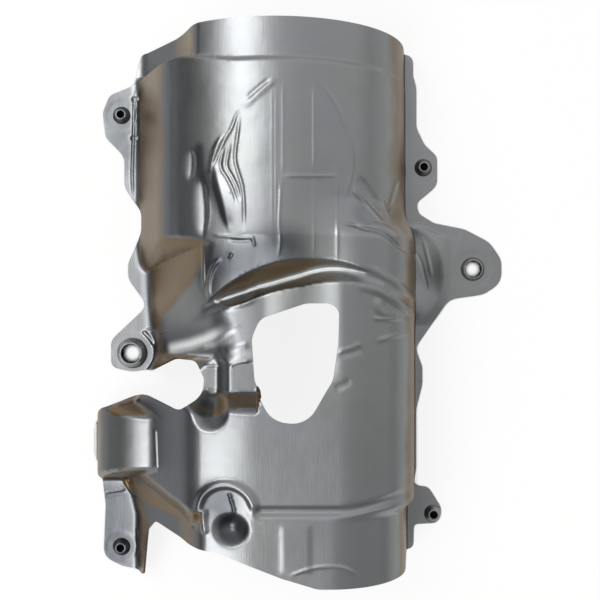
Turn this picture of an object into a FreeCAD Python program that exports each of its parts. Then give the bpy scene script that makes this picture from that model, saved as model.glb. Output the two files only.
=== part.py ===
"""Exhaust heat shield: one steel sheet, deep drawn over a half-round body, in millimetres.

The sheet lies on its fixing ears with the drawn side up. X runs across the body, Y along the
exhaust and Z up. The drawn form is a height over the flange, put together from the body, its
lower body, the lobe, the lug and the pressed steps. Two skins carry that form, one sheet
thickness apart, and the trim line, the window and the holes are then cut through both.
"""
import FreeCAD
import Part
import math
import os

# Sheet
SHEET = 1.0                  # sheet thickness
FLANGE_BEND = 4.0            # blend where a wall runs into the flange
WALL_SLOPE = 8.0             # rise over run of the drawn walls, for draw clearance
CROWN = 70.0                 # height of both bodies

# Upper body, over the converter can
CAN_X = -11.5
CAN_R = 65.0
CAN_FLANK_SLOPE = 1.05       # the left flank leaves the circle at this slope
CAN_KNEE_X = -66.0           # and turns steep here
CAN_KNEE_Z = 42.0
CAN_FOOT_SLOPE = 2.25
KNEE_BLEND = 6.0
CAN_END_Y = 29.5             # where the can's crown starts to fall towards the groove

# Rim band at the top, set in behind the body, most of all on the left
BAND_Y = 109.0
BAND_STEP = 1.3
BAND_EASE = 5.0
BAND_RISE = 6.0              # how far the band's line climbs on the left flank
BAND_RISE_X = -25.0
BAND_RISE_RUN = 40.0
RIM_KNEE_X = -57.7
RIM_KNEE_Z = 36.0
RIM_UPPER_SLOPE = 2.6
RIM_LOWER_SLOPE = 1.42

# Lower body, over the down pipe
PIPE_LEFT_X = -19.5          # crown is level from here to the right shoulder
PIPE_LEFT_R = 85.0
PIPE_FLANK_X = -52.0
PIPE_FLANK_Z = 62.0
PIPE_FLANK_SLOPE = 1.35
PIPE_SHOULDER_X = 17.5
PIPE_SHOULDER_R = 38.0
PIPE_NARROWING = 4.0         # the lower end's right shoulder is set in by this, below the bead
PIPE_NARROW_Y = -95.0
PIPE_NARROW_RUN = 5.0

# The right shoulder widens from the upper body's to the lower body's
WIDEN_Y = 48.0
WIDEN_RUN = 20.0
WIDEN_RUN_X = 15.0

# Waist: sloping shoulder, groove and arm, each a line of x and value across the body
SHOULDER_FALL = [(-20, 0.35), (0, 0.12), (30, 0.0)]
GROOVE_X = 5.0
GROOVE_Y = 19.0
GROOVE_BOW = 125.0
GROOVE_WIDTH = [(-42, 9.0), (-25, 13.0), (0, 13.0), (36, 6.0)]
GROOVE_DEPTH = [(-45, 8.0), (-30, 11.0), (-10, 11.0), (15, 8.0), (38, 0.0)]
GROOVE_WALL = 1.3
GROOVE_LIP = 2.0
GROOVE_RUN = 10.0
GROOVE_BLEND = 3.5
ARM_DROP = 13.0              # the arm's crown lies this far under the pipe body's
ARM_DROP_X = 30.0
ARM_DROP_RUN = 42.0
ARM_START_Y = -42.0
ARM_START_RUN = 14.0

# Flat faces on the left of the waist: height at a place, and slopes along X and Y
SIDE_X = -43.0
SIDE_Z = 62.0
SIDE_SLOPE = 1.71
ARM_Z = 104.7
ARM_SLOPE_X = 1.2
ARM_SLOPE_Y = 0.6
ARM_LEVEL_Y = -12.0           # the arm's face stops falling here, towards the notch
FACE_BLEND = 8.0
SIDE_BLEND = 3.0
FACES_TOP = [(-80, 14.0), (-66, 19.0), (-45, 25.0), (-30, 27.0)]
FACES_END_Y = -27.0
END_SLOPE = 2.2              # the can's left end falls at this slope
FACES_END_SLOPE = 1.5

# Neck between the side notch and the window
NECK_TOP_Y = -29.5
NECK_END_Y = -42.5
NECK_TOP_SLOPE = 0.8
NECK_END_SLOPE = 1.8
NECK_LEVEL = 56.5
NECK_STEP_X = -32.0
NECK_STEP_RUN = 8.0
NECK_STEP = 9.0
NECK_RIGHT_X = -20.0
NECK_RIGHT_RUN = 6.0
NECK_BLEND = 3.0
BOSS_X = -40.8               # round dimple in the neck's lower end
BOSS_Y = -50.7
BOSS_R = 9.0
BOSS_DEPTH = 4.0

# Left lobe
LOBE_X = -69.0
LOBE_TOP = 37.0
LOBE_REACH = 36.0
LOBE_Y = -67.0
LOBE_END_Z = 81.4            # its two ends rise towards a ridge this high, cut off by the top
LOBE_END_HALF = 28.0
LOBE_ROUND = 8.0
LOBE_BLEND = 5.0
LOBE_RIGHT_RUN = 6.0
LOBE_RIGHT_SLOPE = 2.0

# Lower left corner: the slanting step and the level ear plate
FALL_X = -78.0
FALL_Y = -84.5
FALL_SLANT = 0.36
FALL_DROP = 9.0
FALL_RUN = 10.0
FALL_END_X = -42.0
FALL_END_RUN = 16.0
PLATE_EDGE = [(87.0, -102.0), (90.2, -96.5), (95.3, -90.8), (101.0, -87.2), (111.4, -84.8)]
PLATE_Y = -86.0
PLATE_RUN = 4.0
PLATE_WALL = 2.5
PLATE_SINK = 2.0             # runs this far under the flange, which covers it
PLATE_BLEND = 4.0

# Round cup, ring bead and pad near the lower end
CUP_X = -31.0
CUP_Y = -102.5
CUP_R = 9.0
CUP_DEPTH = 5.0
RING_X = -33.5
RING_Y = -96.0
RING_R = 14.0
RING_HIGH = 1.8
RING_WIDTH = 3.5
RING_FADE_Y = 3.6            # only the upper half of the ring stands
RING_FADE = 6.0
BEAD_Y = -95.0
BEAD_HALF = 2.6
BEAD_DEPTH = 1.3
BEAD_START_X = -24.0
BEAD_START_RUN = 6.0
BEAD_RISE = 5.0              # the bead climbs to the right ear
BEAD_RISE_X = 15.0
BEAD_RISE_RUN = 40.0
PAD_X = -2.0
PAD_Y = -112.0
PAD_HALF_X = 8.0
PAD_HALF_Y = 12.0
PAD_HIGH = 0.8
PAD_EASE = 2.5

# Ramp from the body to the right ear
RAMP_X = 50.0
RAMP_LEFT_X = 34.0
RAMP_Y = 13.0
RAMP_Z = 34.0
RAMP_FALL = 1.2
RAMP_HALF = 26.0
RAMP_BLEND = 8.0

# Holes: place, bore radius, collar foot radius and collar height
LUG_X = -87.6
LUG_Y = -27.7
LUG_BORE_R = 5.2
LUG_FOOT_R = 8.0
LUG_COLLAR = 5.0
EAR_X = 90.2
EAR_Y = 16.1
EAR_BORE_R = 4.5
EAR_FOOT_R = 6.2
EAR_COLLAR = 2.0
SMALL_BORE_R = 2.1
SMALL_FOOT_R = 4.6
SMALL_COLLAR = 3.4
SMALL_HOLES = [(-93.2, 96.4), (64.4, 69.1), (-93.2, -128.8), (69.4, -111.5)]

NECK_LIP = 0.55              # wall of a neck at its lip
NECK_DRAW = 0.6              # share of a neck's height that is hollow below
FLAT_MARGIN = 1.5              # level ring round a neck's foot
EAR_MARGIN = 3.0
FLAT_WALL = 80.0               # beyond it the sheet may rise to this height within the run
FLAT_RUN = 14.0
PUNCH_UNDER = 20.0             # the cutting solids pass this far under and over the sheet
PUNCH_OVER = 100.0

# Cross-sections of the drawn sheet, closer together where a step crosses the body
SECTIONS = [-146, -134, -126, -120, -114, -108, -103, -98, -94.5, -91, -86, -80, -74, -68, -60, -54,
            -49, -45, -42, -38, -33, -29.5, -26, -20, -13, -6, 0, 4, 8, 12, 15, 18, 21, 24, 27, 30,
            34, 42, 52, 64, 76, 88, 98, 105, 108, 111, 114, 117, 124, 135]
SECTION_POLES = 56
LEFT_END = -112.0
RIGHT_END = 110.0

# Trim line, round the sheet from the top left corner: x, y and corner radius
TRIM_RIGHT = [(59, 128, 4), (59, 117, 6), (60.7, 111, 6), (60.7, 90, 8), (65, 81, 8), (71.6, 75, 5),
              (71.6, 60, 6), (66, 55, 6), (60.7, 51, 4), (62, 45, 4), (70, 40, 8), (86, 36.8, 10),
              (99, 30, 11), (105.2, 21, 9), (105.2, 9, 9), (96, 3, 10), (78, 0.5, 10),
              (64.4, -19, 12), (60.2, -25, 6), (63.9, -35, 8), (63.9, -44, 8), (60.7, -57, 10),
              (60.7, -88, 12), (59.2, -97.4, 3), (67, -97.8, 4), (74, -109, 5), (72.5, -116.4, 4),
              (59.4, -117, 2), (59.2, -130, 3)]
TRIM_LOWER = [(8, -130, 12), (-8, -125.2, 10), (-38, -113.6, 14), (-52, -113.2, 10), (-72, -109.2, 4),
              (-77, -115.5, 3), (-80.4, -141.2, 2), (-93, -138.7, 6), (-102.6, -134, 7),
              (-101.4, -107, 10), (-103.7, -88, 6), (-107.3, -81, 8), (-107.3, -66, 8),
              (-102, -55, 9), (-77.3, -46.2, 10), (-57, -51.6, 8), (-46, -45, 8), (-45.2, -37, 6),
              (-49.5, -28.6, 8), (-62, -28.4, 8), (-76, -35.4, 14), (-88, -37.2, 6),
              (-98.6, -35, 4), (-98.6, -21, 6), (-81, -4.5, 4), (-81.2, -0.5, 4)]
TRIM_LEFT = [(-89.7, 11, 8), (-89.7, 19, 6), (-82.2, 36, 8), (-82.2, 45, 8), (-91.6, 59, 8),
             (-91.6, 75, 8), (-101.4, 85, 5), (-103, 98, 6), (-99.5, 106.8, 5), (-86.4, 112, 4),
             (-82.8, 128, 3)]
WINDOW = [(13.5, -1.5, 9), (17.6, -4.5, 5), (17.2, -19, 12), (14.8, -36, 10), (3, -56.5, 13),
          (-13, -54.6, 12), (-21.2, -38, 16), (-22.4, -17.5, 10), (-18.5, -8.6, 8), (2, -1.6, 12)]


def ease(t):
    """Smooth rise from 0 to 1 as t goes from 0 to 1, level at both ends."""
    t = min(max(t, 0.0), 1.0)
    return t * t * (3.0 - 2.0 * t)


def hump(t):
    """Smooth bump, 1 at t = 0 and level at 0 from t = 1 on, either way."""
    t = min(abs(t), 1.0)
    return (1.0 - t * t) ** 2


def upper_of(a, b, blend):
    """The higher of two heights, with a round of about the blend length between them."""
    near = max(blend - abs(a - b), 0.0) / blend
    return max(a, b) + near * near * blend * 0.25


def lower_of(a, b, blend):
    """The lower of two heights, with a round between them."""
    return -upper_of(-a, -b, blend)


def arch(d, radius, slope):
    """Height of a circle at distance d from its middle, running out in a wall of the given slope."""
    d = abs(d)
    edge = radius * slope / math.sqrt(1.0 + slope * slope)
    inside = min(d, edge)
    return math.sqrt(radius * radius - inside * inside) - slope * (d - inside)


def line_at(x, knots):
    """A line through a few places: straight between them, level beyond the ends."""
    if x <= knots[0][0]:
        return knots[0][1]
    for (x0, v0), (x1, v1) in zip(knots, knots[1:]):
        if x <= x1:
            return v0 + (v1 - v0) * (x - x0) / (x1 - x0)
    return knots[-1][1]


def can_form(x, y):
    """Upper body: a circle arch with a wide left flank, and the rim band set in."""
    side_slope = CAN_FLANK_SLOPE if x < CAN_X else WALL_SLOPE
    height = CROWN - CAN_R + arch(x - CAN_X, CAN_R, side_slope)
    foot = CAN_KNEE_Z + CAN_FOOT_SLOPE * (x - CAN_KNEE_X)
    out = x - RIM_KNEE_X
    rim = RIM_KNEE_Z + upper_of(RIM_UPPER_SLOPE * out, RIM_LOWER_SLOPE * out, KNEE_BLEND)
    line = BAND_Y + BAND_RISE * ease((BAND_RISE_X - x) / BAND_RISE_RUN)
    in_band = ease((y - line) / BAND_EASE + 0.5)
    foot += (rim - foot) * in_band
    return lower_of(height, foot, KNEE_BLEND) - BAND_STEP * in_band


def pipe_form(x, y):
    """Lower body: a level crown, a wide left flank and a round right shoulder with an upright wall."""
    left = max(PIPE_LEFT_X - x, 0.0)
    height = CROWN - left * left / (2.0 * PIPE_LEFT_R)
    shoulder_x = PIPE_SHOULDER_X - PIPE_NARROWING * ease((PIPE_NARROW_Y - y) / PIPE_NARROW_RUN)
    right = max(x - shoulder_x, 0.0)
    shoulder = CROWN - PIPE_SHOULDER_R + arch(right, PIPE_SHOULDER_R, WALL_SLOPE)
    flank = PIPE_FLANK_Z + PIPE_FLANK_SLOPE * (x - PIPE_FLANK_X)
    return lower_of(min(height, shoulder), flank, KNEE_BLEND)


def waist_form(x, y):
    """The two bodies joined: the can's crown falls to the groove, and the arm starts beyond it."""
    pipe = pipe_form(x, y)
    can = can_form(x, y)
    can += (pipe - can) * ease((WIDEN_Y - y) / WIDEN_RUN) * ease(x / WIDEN_RUN_X)
    sloping = can - line_at(x, SHOULDER_FALL) * max(CAN_END_Y - y, 0.0)
    groove = GROOVE_Y - (x - GROOVE_X) ** 2 / GROOVE_BOW
    crest = groove - line_at(x, GROOVE_WIDTH)
    floor = min(pipe, sloping) - line_at(x, GROOVE_DEPTH)
    above = ease((y - groove - GROOVE_LIP) / GROOVE_RUN)
    below = ease((crest - y - GROOVE_LIP) / GROOVE_RUN)
    floor -= CROWN * (above + below)
    can_side = sloping - GROOVE_WALL * max(groove - y, 0.0)
    pipe -= ARM_DROP * ease((ARM_DROP_X - x) / ARM_DROP_RUN) * ease((y - ARM_START_Y) / ARM_START_RUN)
    pipe_side = pipe - GROOVE_WALL * max(y - crest, 0.0)
    return upper_of(upper_of(can_side, floor, GROOVE_BLEND), pipe_side, GROOVE_BLEND)


def left_faces(x, y):
    """The two flat faces on the left of the waist: under the can's end, and over the lug."""
    side = SIDE_Z + SIDE_SLOPE * (x - SIDE_X)
    arm = ARM_Z + ARM_SLOPE_X * x + ARM_SLOPE_Y * upper_of(y, ARM_LEVEL_Y, FACE_BLEND)
    above = max(y - line_at(x, FACES_TOP), 0.0)
    below = max(FACES_END_Y - y, 0.0)
    return lower_of(side, arm, SIDE_BLEND) + END_SLOPE * above + FACES_END_SLOPE * below


def neck_form(x, y):
    """The low bridge between the side notch and the window, with a step along it."""
    neck = NECK_LEVEL - NECK_STEP * ease((NECK_STEP_X - x) / NECK_STEP_RUN)
    neck += NECK_TOP_SLOPE * max(y - NECK_TOP_Y, 0.0)
    neck += NECK_END_SLOPE * max(NECK_END_Y - y, 0.0)
    return neck + CROWN * ease((x - NECK_RIGHT_X) / NECK_RIGHT_RUN)


def ear_form(x, y):
    """The right ear: a round pad on the flange, joined to the body by a falling ramp."""
    ramp = max(RAMP_Z - RAMP_FALL * max(x - RAMP_X, RAMP_LEFT_X - x, 0.0), 0.0)
    spread = max(1.0 - ((y - RAMP_Y) / RAMP_HALF) ** 2, 0.0)
    return ramp * spread - SHEET


def lobe_form(x, y):
    """The bulge on the left of the lower body: a quarter round with upright ends."""
    reach = max(LOBE_X - x, 0.0)
    top = LOBE_TOP - LOBE_REACH + arch(reach, LOBE_REACH, WALL_SLOPE)
    top -= LOBE_RIGHT_SLOPE * max(x - LOBE_X - LOBE_RIGHT_RUN, 0.0)
    ends = LOBE_END_Z * (1.0 - abs(y - LOBE_Y) / LOBE_END_HALF)
    return lower_of(top, ends, LOBE_ROUND)


def fall_form(x, y, height):
    """The lower left corner of the body drops by a slanting step, and the ear plate lies level."""
    line = FALL_Y - FALL_SLANT * (x - FALL_X)
    height -= FALL_DROP * ease((line - y) / FALL_RUN) * ease((FALL_END_X - x) / FALL_END_RUN)
    edge_x = line_at(-y, PLATE_EDGE)
    off_plate = CROWN * (1.0 - ease((PLATE_Y - y) / PLATE_RUN))
    return lower_of(height, PLATE_WALL * max(x - edge_x, -PLATE_SINK) + off_plate, PLATE_BLEND)


def pressed_details(x, y, height):
    """The round cup, the ring bead and the pad at the lower end."""
    bead = hump((y - BEAD_Y - BEAD_RISE * ease((x - BEAD_RISE_X) / BEAD_RISE_RUN)) / BEAD_HALF)
    height -= BEAD_DEPTH * bead * ease((x - BEAD_START_X) / BEAD_START_RUN)
    from_ring = math.hypot(x - RING_X, y - RING_Y)
    standing = ease((y - RING_Y + RING_FADE_Y) / RING_FADE)
    height += RING_HIGH * hump((from_ring - RING_R) / RING_WIDTH) * standing
    height -= RING_HIGH * hump(from_ring / RING_R)
    height -= CUP_DEPTH * hump(math.hypot(x - CUP_X, y - CUP_Y) / CUP_R)
    across = ease((PAD_HALF_X - abs(x - PAD_X)) / PAD_EASE)
    return height + PAD_HIGH * across * ease((PAD_HALF_Y - abs(y - PAD_Y)) / PAD_EASE)


def outer_height(x, y):
    """Height of the outer face over the ground at a place on the sheet."""
    height = lower_of(waist_form(x, y), left_faces(x, y), FACE_BLEND)
    height = lower_of(height, neck_form(x, y), NECK_BLEND)
    height -= BOSS_DEPTH * hump(math.hypot(x - BOSS_X, y - BOSS_Y) / BOSS_R)
    height = fall_form(x, y, height)
    height = pressed_details(x, y, height)
    height = upper_of(height, ear_form(x, y), RAMP_BLEND)
    height = upper_of(height, lobe_form(x, y), LOBE_BLEND)
    for hole_x, hole_y, clear in flat_spots():
        level = FLAT_WALL * ease((math.hypot(x - hole_x, y - hole_y) - clear) / FLAT_RUN)
        height = lower_of(height, level - FLANGE_BEND, FLANGE_BEND)
    return upper_of(height, SHEET, FLANGE_BEND)


def flat_spots():
    """Each fixing hole, with the radius round it that stays level."""
    spots = [(x, y, SMALL_FOOT_R + FLAT_MARGIN) for x, y in SMALL_HOLES]
    spots.append((LUG_X, LUG_Y, LUG_FOOT_R + FLAT_MARGIN))
    spots.append((EAR_X, EAR_Y, EAR_FOOT_R + EAR_MARGIN))
    return spots


def outer_point(x, y):
    """The point of the outer face over a place on the sheet."""
    return FreeCAD.Vector(x, y, outer_height(x, y))


def inner_point(x, y):
    """The point one sheet thickness inside, moved within its own cross-section."""
    step = 0.2
    slope_x = (outer_height(x + step, y) - outer_height(x - step, y)) / (2.0 * step)
    slope_y = (outer_height(x, y + step) - outer_height(x, y - step)) / (2.0 * step)
    across = 1.0 + slope_x * slope_x
    move = SHEET * math.sqrt(across + slope_y * slope_y) / across
    return outer_point(x, y) - FreeCAD.Vector(-slope_x, 0.0, 1.0) * move


def section_places(y):
    """Places across the sheet at one Y, equally far apart along the drawn section."""
    count = 110
    places = [LEFT_END + (RIGHT_END - LEFT_END) * i / count for i in range(count + 1)]
    heights = [sum(outer_height(x, y + dy) for dy in (-9.0, 0.0, 9.0)) / 3.0 for x in places]
    along = [0.0]
    for i in range(count):
        along.append(along[-1] + math.hypot(places[i + 1] - places[i], heights[i + 1] - heights[i]))
    found = []
    i = 0
    for k in range(SECTION_POLES):
        wanted = along[-1] * k / (SECTION_POLES - 1)
        while i < count - 1 and along[i + 1] < wanted:
            i += 1
        share = (wanted - along[i]) / (along[i + 1] - along[i])
        found.append(places[i] + (places[i + 1] - places[i]) * min(share, 1.0))
    return found


def curve_by_poles(points):
    """A cubic curve drawn by its control points, which takes no wave that they don't have."""
    curve = Part.BSplineCurve()
    knots = list(range(len(points) - 2))
    mults = [4] + [1] * (len(knots) - 2) + [4]
    curve.buildFromPolesMultsKnots(points, mults, knots, False, 3)
    return curve.toShape()


def sheet_section(y):
    """The closed outline of the sheet's cross-section at one Y."""
    places = section_places(y)
    outer = [outer_point(x, y) for x in places]
    inner = [inner_point(x, y) for x in places]
    right_end = Part.makeLine(outer[-1], inner[-1])
    left_end = Part.makeLine(inner[0], outer[0])
    return Part.Wire([curve_by_poles(outer), right_end, curve_by_poles(inner[::-1]), left_end])


def drawn_sheet():
    """The drawn sheet before trimming, lofted through its cross-sections."""
    return Part.makeLoft([sheet_section(y) for y in SECTIONS], True, True)


def rounded_outline(corners):
    """A closed wire of straight runs with a round at each corner, given as x, y and radius."""
    edges = []
    ends = []
    for i, (x, y, radius) in enumerate(corners):
        here = FreeCAD.Vector(x, y, 0)
        back = FreeCAD.Vector(corners[i - 1][0], corners[i - 1][1], 0) - here
        ahead = FreeCAD.Vector(*corners[(i + 1) % len(corners)][:2], 0) - here
        room = 0.49 * min(back.Length, ahead.Length)
        back.normalize()
        ahead.normalize()
        half = 0.5 * back.getAngle(ahead)
        cut = min(radius / math.tan(half), room)
        inward = back + ahead
        inward.normalize()
        reach = cut / math.cos(half)
        middle = here + inward * (reach - cut * math.tan(half))
        start = here + back * cut
        end = here + ahead * cut
        ends.append((start, end))
        edges.append(Part.Arc(start, middle, end).toShape())
    runs = []
    for i in range(len(corners)):
        runs.append(edges[i - 1])
        runs.append(Part.makeLine(ends[i - 1][1], ends[i][0]))
    return Part.Wire(runs)


def punch(wire):
    """A solid that stands on a closed flat wire and passes through the whole sheet."""
    face = Part.Face(wire)
    face.translate(FreeCAD.Vector(0, 0, -PUNCH_UNDER))
    return face.extrude(FreeCAD.Vector(0, 0, PUNCH_UNDER + PUNCH_OVER))


def neck(x, y, foot_r, bore_r, height):
    """The outside of the neck drawn up round a hole, rooted half way into the sheet."""
    root = 0.5 * SHEET
    lip_r = bore_r + NECK_LIP
    return Part.makeCone(foot_r, lip_r, root + height, FreeCAD.Vector(x, y, root))


def neck_hollow(x, y, foot_r, bore_r, height):
    """The hollow under a neck, one sheet thickness inside it, which leaves a short straight lip."""
    depth = NECK_DRAW * height
    mouth_r = foot_r - SHEET
    below = 0.5 * SHEET
    wider = mouth_r + (mouth_r - bore_r) * below / depth
    return Part.makeCone(wider, bore_r, depth + below, FreeCAD.Vector(x, y, -below))


def heat_shield():
    """The whole pressing: drawn, trimmed, its window cut and its fixing holes necked and bored."""
    holes = [(x, y, SMALL_FOOT_R, SMALL_BORE_R, SMALL_COLLAR) for x, y in SMALL_HOLES]
    holes.append((LUG_X, LUG_Y, LUG_FOOT_R, LUG_BORE_R, LUG_COLLAR))
    holes.append((EAR_X, EAR_Y, EAR_FOOT_R, EAR_BORE_R, EAR_COLLAR))
    sheet = drawn_sheet().common(punch(TRIM_LINE))
    sheet = sheet.cut(punch(rounded_outline(WINDOW)))
    for hole in holes:
        sheet = sheet.fuse(neck(*hole))
    for x, y, foot_r, bore_r, height in holes:
        sheet = sheet.cut(neck_hollow(x, y, foot_r, bore_r, height))
        below = FreeCAD.Vector(x, y, -PUNCH_UNDER)
        sheet = sheet.cut(Part.makeCylinder(bore_r, 2.0 * PUNCH_UNDER, below))
    return sheet.Solids[0]


TRIM_LINE = rounded_outline(TRIM_RIGHT + TRIM_LOWER + TRIM_LEFT)
middle = TRIM_LINE.BoundBox.Center
part = heat_shield()
part.translate(FreeCAD.Vector(-middle.x, -middle.y, 0))
os.makedirs("parts", exist_ok=True)
part.exportStep("parts/heat_shield.step")
print("heat_shield", part.ShapeType, part.isValid(), round(part.Volume), "moved by", -middle)
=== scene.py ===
"""Exhaust heat shield: one deep-drawn steel sheet with its wrinkles, beads and necked holes."""
import bpy
import numpy as np
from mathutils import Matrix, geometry
from mathutils import Vector


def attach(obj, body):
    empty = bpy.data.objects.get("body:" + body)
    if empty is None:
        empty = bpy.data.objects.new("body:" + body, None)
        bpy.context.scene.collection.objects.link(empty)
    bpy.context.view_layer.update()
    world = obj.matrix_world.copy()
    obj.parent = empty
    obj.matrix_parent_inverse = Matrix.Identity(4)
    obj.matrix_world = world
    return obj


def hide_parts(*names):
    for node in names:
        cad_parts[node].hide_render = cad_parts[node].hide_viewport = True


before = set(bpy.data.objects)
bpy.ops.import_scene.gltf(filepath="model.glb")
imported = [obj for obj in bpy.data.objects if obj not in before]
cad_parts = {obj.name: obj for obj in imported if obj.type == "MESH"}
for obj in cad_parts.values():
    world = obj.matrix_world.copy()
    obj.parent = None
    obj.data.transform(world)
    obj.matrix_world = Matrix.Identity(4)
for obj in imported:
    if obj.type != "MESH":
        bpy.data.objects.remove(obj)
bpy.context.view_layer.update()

# The photograph is a square of 600 pixels, seen from straight above the middle of the sheet.
# The lens and the camera's height are fitted to it. Neither is known.
PHOTO_MIDDLE = 300.0
PHOTO_LENS = 934.0           # pixels of the picture per unit of height to width
CAMERA_HIGH = 489.0          # millimetres over the bench
MM = 0.001

# The shield: one 1 mm sheet, deep drawn over the two pipes that it covers.
# Its height over the bench is a formula of the place on the sheet, in millimetres, so the same
# formula carries the body, the pressed steps and the wrinkles that drawing left in it.
SHEET = 1.0
FLANGE_BEND = 4.0
CROWN = 70.0
CAN_X = -11.5
CAN_R = 65.0
WALL_SLOPE = 8.0
CAN_FLANK_SLOPE = 1.05       # the left flank leaves the circle at this slope
CAN_KNEE = (-66.0, 42.0)     # where the left flank turns steep
CAN_FOOT_SLOPE = 2.25
RIM_KNEE = (-57.7, 36.0)     # the rim band's own left flank, set in behind the body's
RIM_UPPER_SLOPE = 2.6
RIM_LOWER_SLOPE = 1.42
BAND_Y = 109.0
BAND_RISE = 6.0
BAND_STEP = 1.3
PIPE_LEFT_X = -19.5
PIPE_LEFT_R = 85.0
PIPE_FLANK = (-52.0, 62.0)
PIPE_FOLD_Y = -98.0          # the lower end is narrower below the ring bead
PIPE_SHOULDER_X = 17.5
PIPE_SHOULDER_R = 38.0


def ease(t):
    """Smooth rise from 0 to 1 as t goes from 0 to 1: three t squared less two t cubed."""
    t = np.clip(t, 0.0, 1.0)
    return t * t * (3.0 - 2.0 * t)


def hump(t):
    """Smooth bump: one less t squared, all squared, and nothing past t of one."""
    t = np.minimum(np.abs(t), 1.0)
    return (1.0 - t * t) ** 2


def upper_of(a, b, blend):
    """The higher of two heights, with a round of about the blend length between them."""
    near = np.maximum(blend - np.abs(a - b), 0.0) / blend
    return np.maximum(a, b) + near * near * blend * 0.25


def lower_of(a, b, blend):
    """The lower of two heights, with a round of about the blend length between them."""
    return -upper_of(-a, -b, blend)


def arch(d, radius, slope):
    """Circle of the radius over distance d, which runs out in a straight wall of the slope."""
    d = np.abs(d)
    edge = radius * slope / np.sqrt(1.0 + slope * slope)
    inside = np.minimum(d, edge)
    return np.sqrt(radius * radius - inside * inside) - slope * (d - inside)


def line_at(x, knots):
    """A line through a few places: straight between them, level beyond the ends."""
    places, values = zip(*knots)
    return np.interp(x, places, values)


def can_form(x, y):
    """Body over the converter: a circle arch, its left flank turning steep at the knee."""
    side_slope = np.where(x < CAN_X, CAN_FLANK_SLOPE, WALL_SLOPE)
    height = CROWN - CAN_R + arch(x - CAN_X, CAN_R, side_slope)
    flank = CAN_KNEE[1] + CAN_FOOT_SLOPE * (x - CAN_KNEE[0])
    rim = x - RIM_KNEE[0]
    rim = RIM_KNEE[1] + upper_of(RIM_UPPER_SLOPE * rim, RIM_LOWER_SLOPE * rim, 6.0)
    line = BAND_Y + BAND_RISE * ease((-25.0 - x) / 40.0)
    at_rim = ease((y - line + 1.2) / 2.4)
    flank = flank + (rim - flank) * at_rim
    height = lower_of(height, flank, 6.0)
    return height - BAND_STEP * at_rim


def pipe_form(x, y):
    """Body over the down pipe: a level crown, a wide left flank, a round right shoulder."""
    left = np.maximum(PIPE_LEFT_X - x, 0.0)
    height = CROWN - left * left / (2.0 * PIPE_LEFT_R)
    shoulder_x = PIPE_SHOULDER_X - 4.0 * ease((PIPE_FOLD_Y + 3.0 - y) / 5.0)
    right = np.maximum(x - shoulder_x, 0.0)
    shoulder = CROWN - PIPE_SHOULDER_R + arch(right, PIPE_SHOULDER_R, WALL_SLOPE)
    height = np.minimum(height, shoulder)
    flank = PIPE_FLANK[1] + 1.35 * (x - PIPE_FLANK[0])
    return lower_of(height, flank, 6.0)


WIDEN_Y = 48.0               # the right shoulder widens from the can's to the pipe's below here
WIDEN_RUN = 20.0
SHOULDER_Y = 29.5            # the can's crown starts to fall here
GROOVE_TOP = (5.0, 19.0, 125.0)
SIDE_FACE = (-43.0, 62.0, 1.71)
ARM_FACE = (104.7, 1.2, 0.6)
ARM_LEVEL_Y = -12.0          # the arm's face stops falling here, towards the notch
ARM_DROP = 13.0               # the arm's crown lies this far under the pipe body's
FACE_BLEND = 8.0
NECK_TOP_Y = -29.5
NECK_END_Y = -42.5
NECK_LEVEL = 55.5
NECK_STEP_X = -36.0
NECK_STEP = 7.0
BOSS = (-40.8, -50.7, 9.8, 6.5)


def waist_form(x, y):
    """The two bodies joined. The can's crown falls as a sloping shoulder to the groove, the
    pipe's crown starts beyond it, and two flat faces cut both off on the left: a steep one
    under the can's end and, over the lug, the arm's."""
    can = can_form(x, y)
    pipe = pipe_form(x, y)
    can = can + (pipe - can) * ease((WIDEN_Y - y) / WIDEN_RUN) * ease((x + 14.0) / 46.0)
    shoulder = line_at(x, [(-20, 0.35), (0, 0.12), (30, 0.0)])
    sloping = can - shoulder * np.maximum(SHOULDER_Y - y, 0.0)
    groove = GROOVE_TOP[1] - (x - GROOVE_TOP[0]) ** 2 / GROOVE_TOP[2]
    crest = groove - line_at(x, [(-42, 9.0), (-25, 13.0), (0, 13.0), (36, 6.0)])
    deep = line_at(x, [(-45, 8.0), (-30, 11.0), (-10, 11.0), (15, 8.0), (38, 0.0)])
    can_side = sloping - (0.2 + 1.1 * ease((x + 50.0) / 9.0)) * np.maximum(groove - y, 0.0)
    pipe = pipe - ARM_DROP * ease((20.0 - x) / 38.0) * ease((y + 42.0) / 14.0)
    pipe_side = pipe - 1.3 * np.maximum(y - crest, 0.0)
    floor = np.minimum(pipe_form(x, y), sloping) - deep
    floor = floor - 60.0 * ease((y - groove - 2.0) / 10.0) - 60.0 * ease((crest - 2.0 - y) / 10.0)
    body = upper_of(upper_of(can_side, floor, 3.0), pipe_side, 7.0)
    side = SIDE_FACE[1] + SIDE_FACE[2] * (x - SIDE_FACE[0])
    arm = ARM_FACE[0] + ARM_FACE[1] * x + ARM_FACE[2] * upper_of(y, ARM_LEVEL_Y, 8.0)
    faces = lower_of(side, arm, 3.0)
    face_end = line_at(x, [(-80, 14.0), (-66, 19.0), (-45, 25.0), (-30, 27.0)])
    faces = faces + 2.2 * np.maximum(y - face_end, 0.0) + 1.5 * np.maximum(-27.0 - y, 0.0)
    body = lower_of(body, faces, FACE_BLEND)
    neck = NECK_LEVEL - NECK_STEP * ease((NECK_STEP_X + 4.0 - x) / 8.0)
    neck = neck + 0.8 * np.maximum(y - NECK_TOP_Y, 0.0) + 1.8 * np.maximum(NECK_END_Y - y, 0.0)
    neck = neck + 60.0 * ease((x + 20.0) / 6.0)
    body = lower_of(body, neck, 3.0)
    return body - BOSS[3] * hump(np.hypot(x - BOSS[0], y - BOSS[1]) / BOSS[2])


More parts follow.
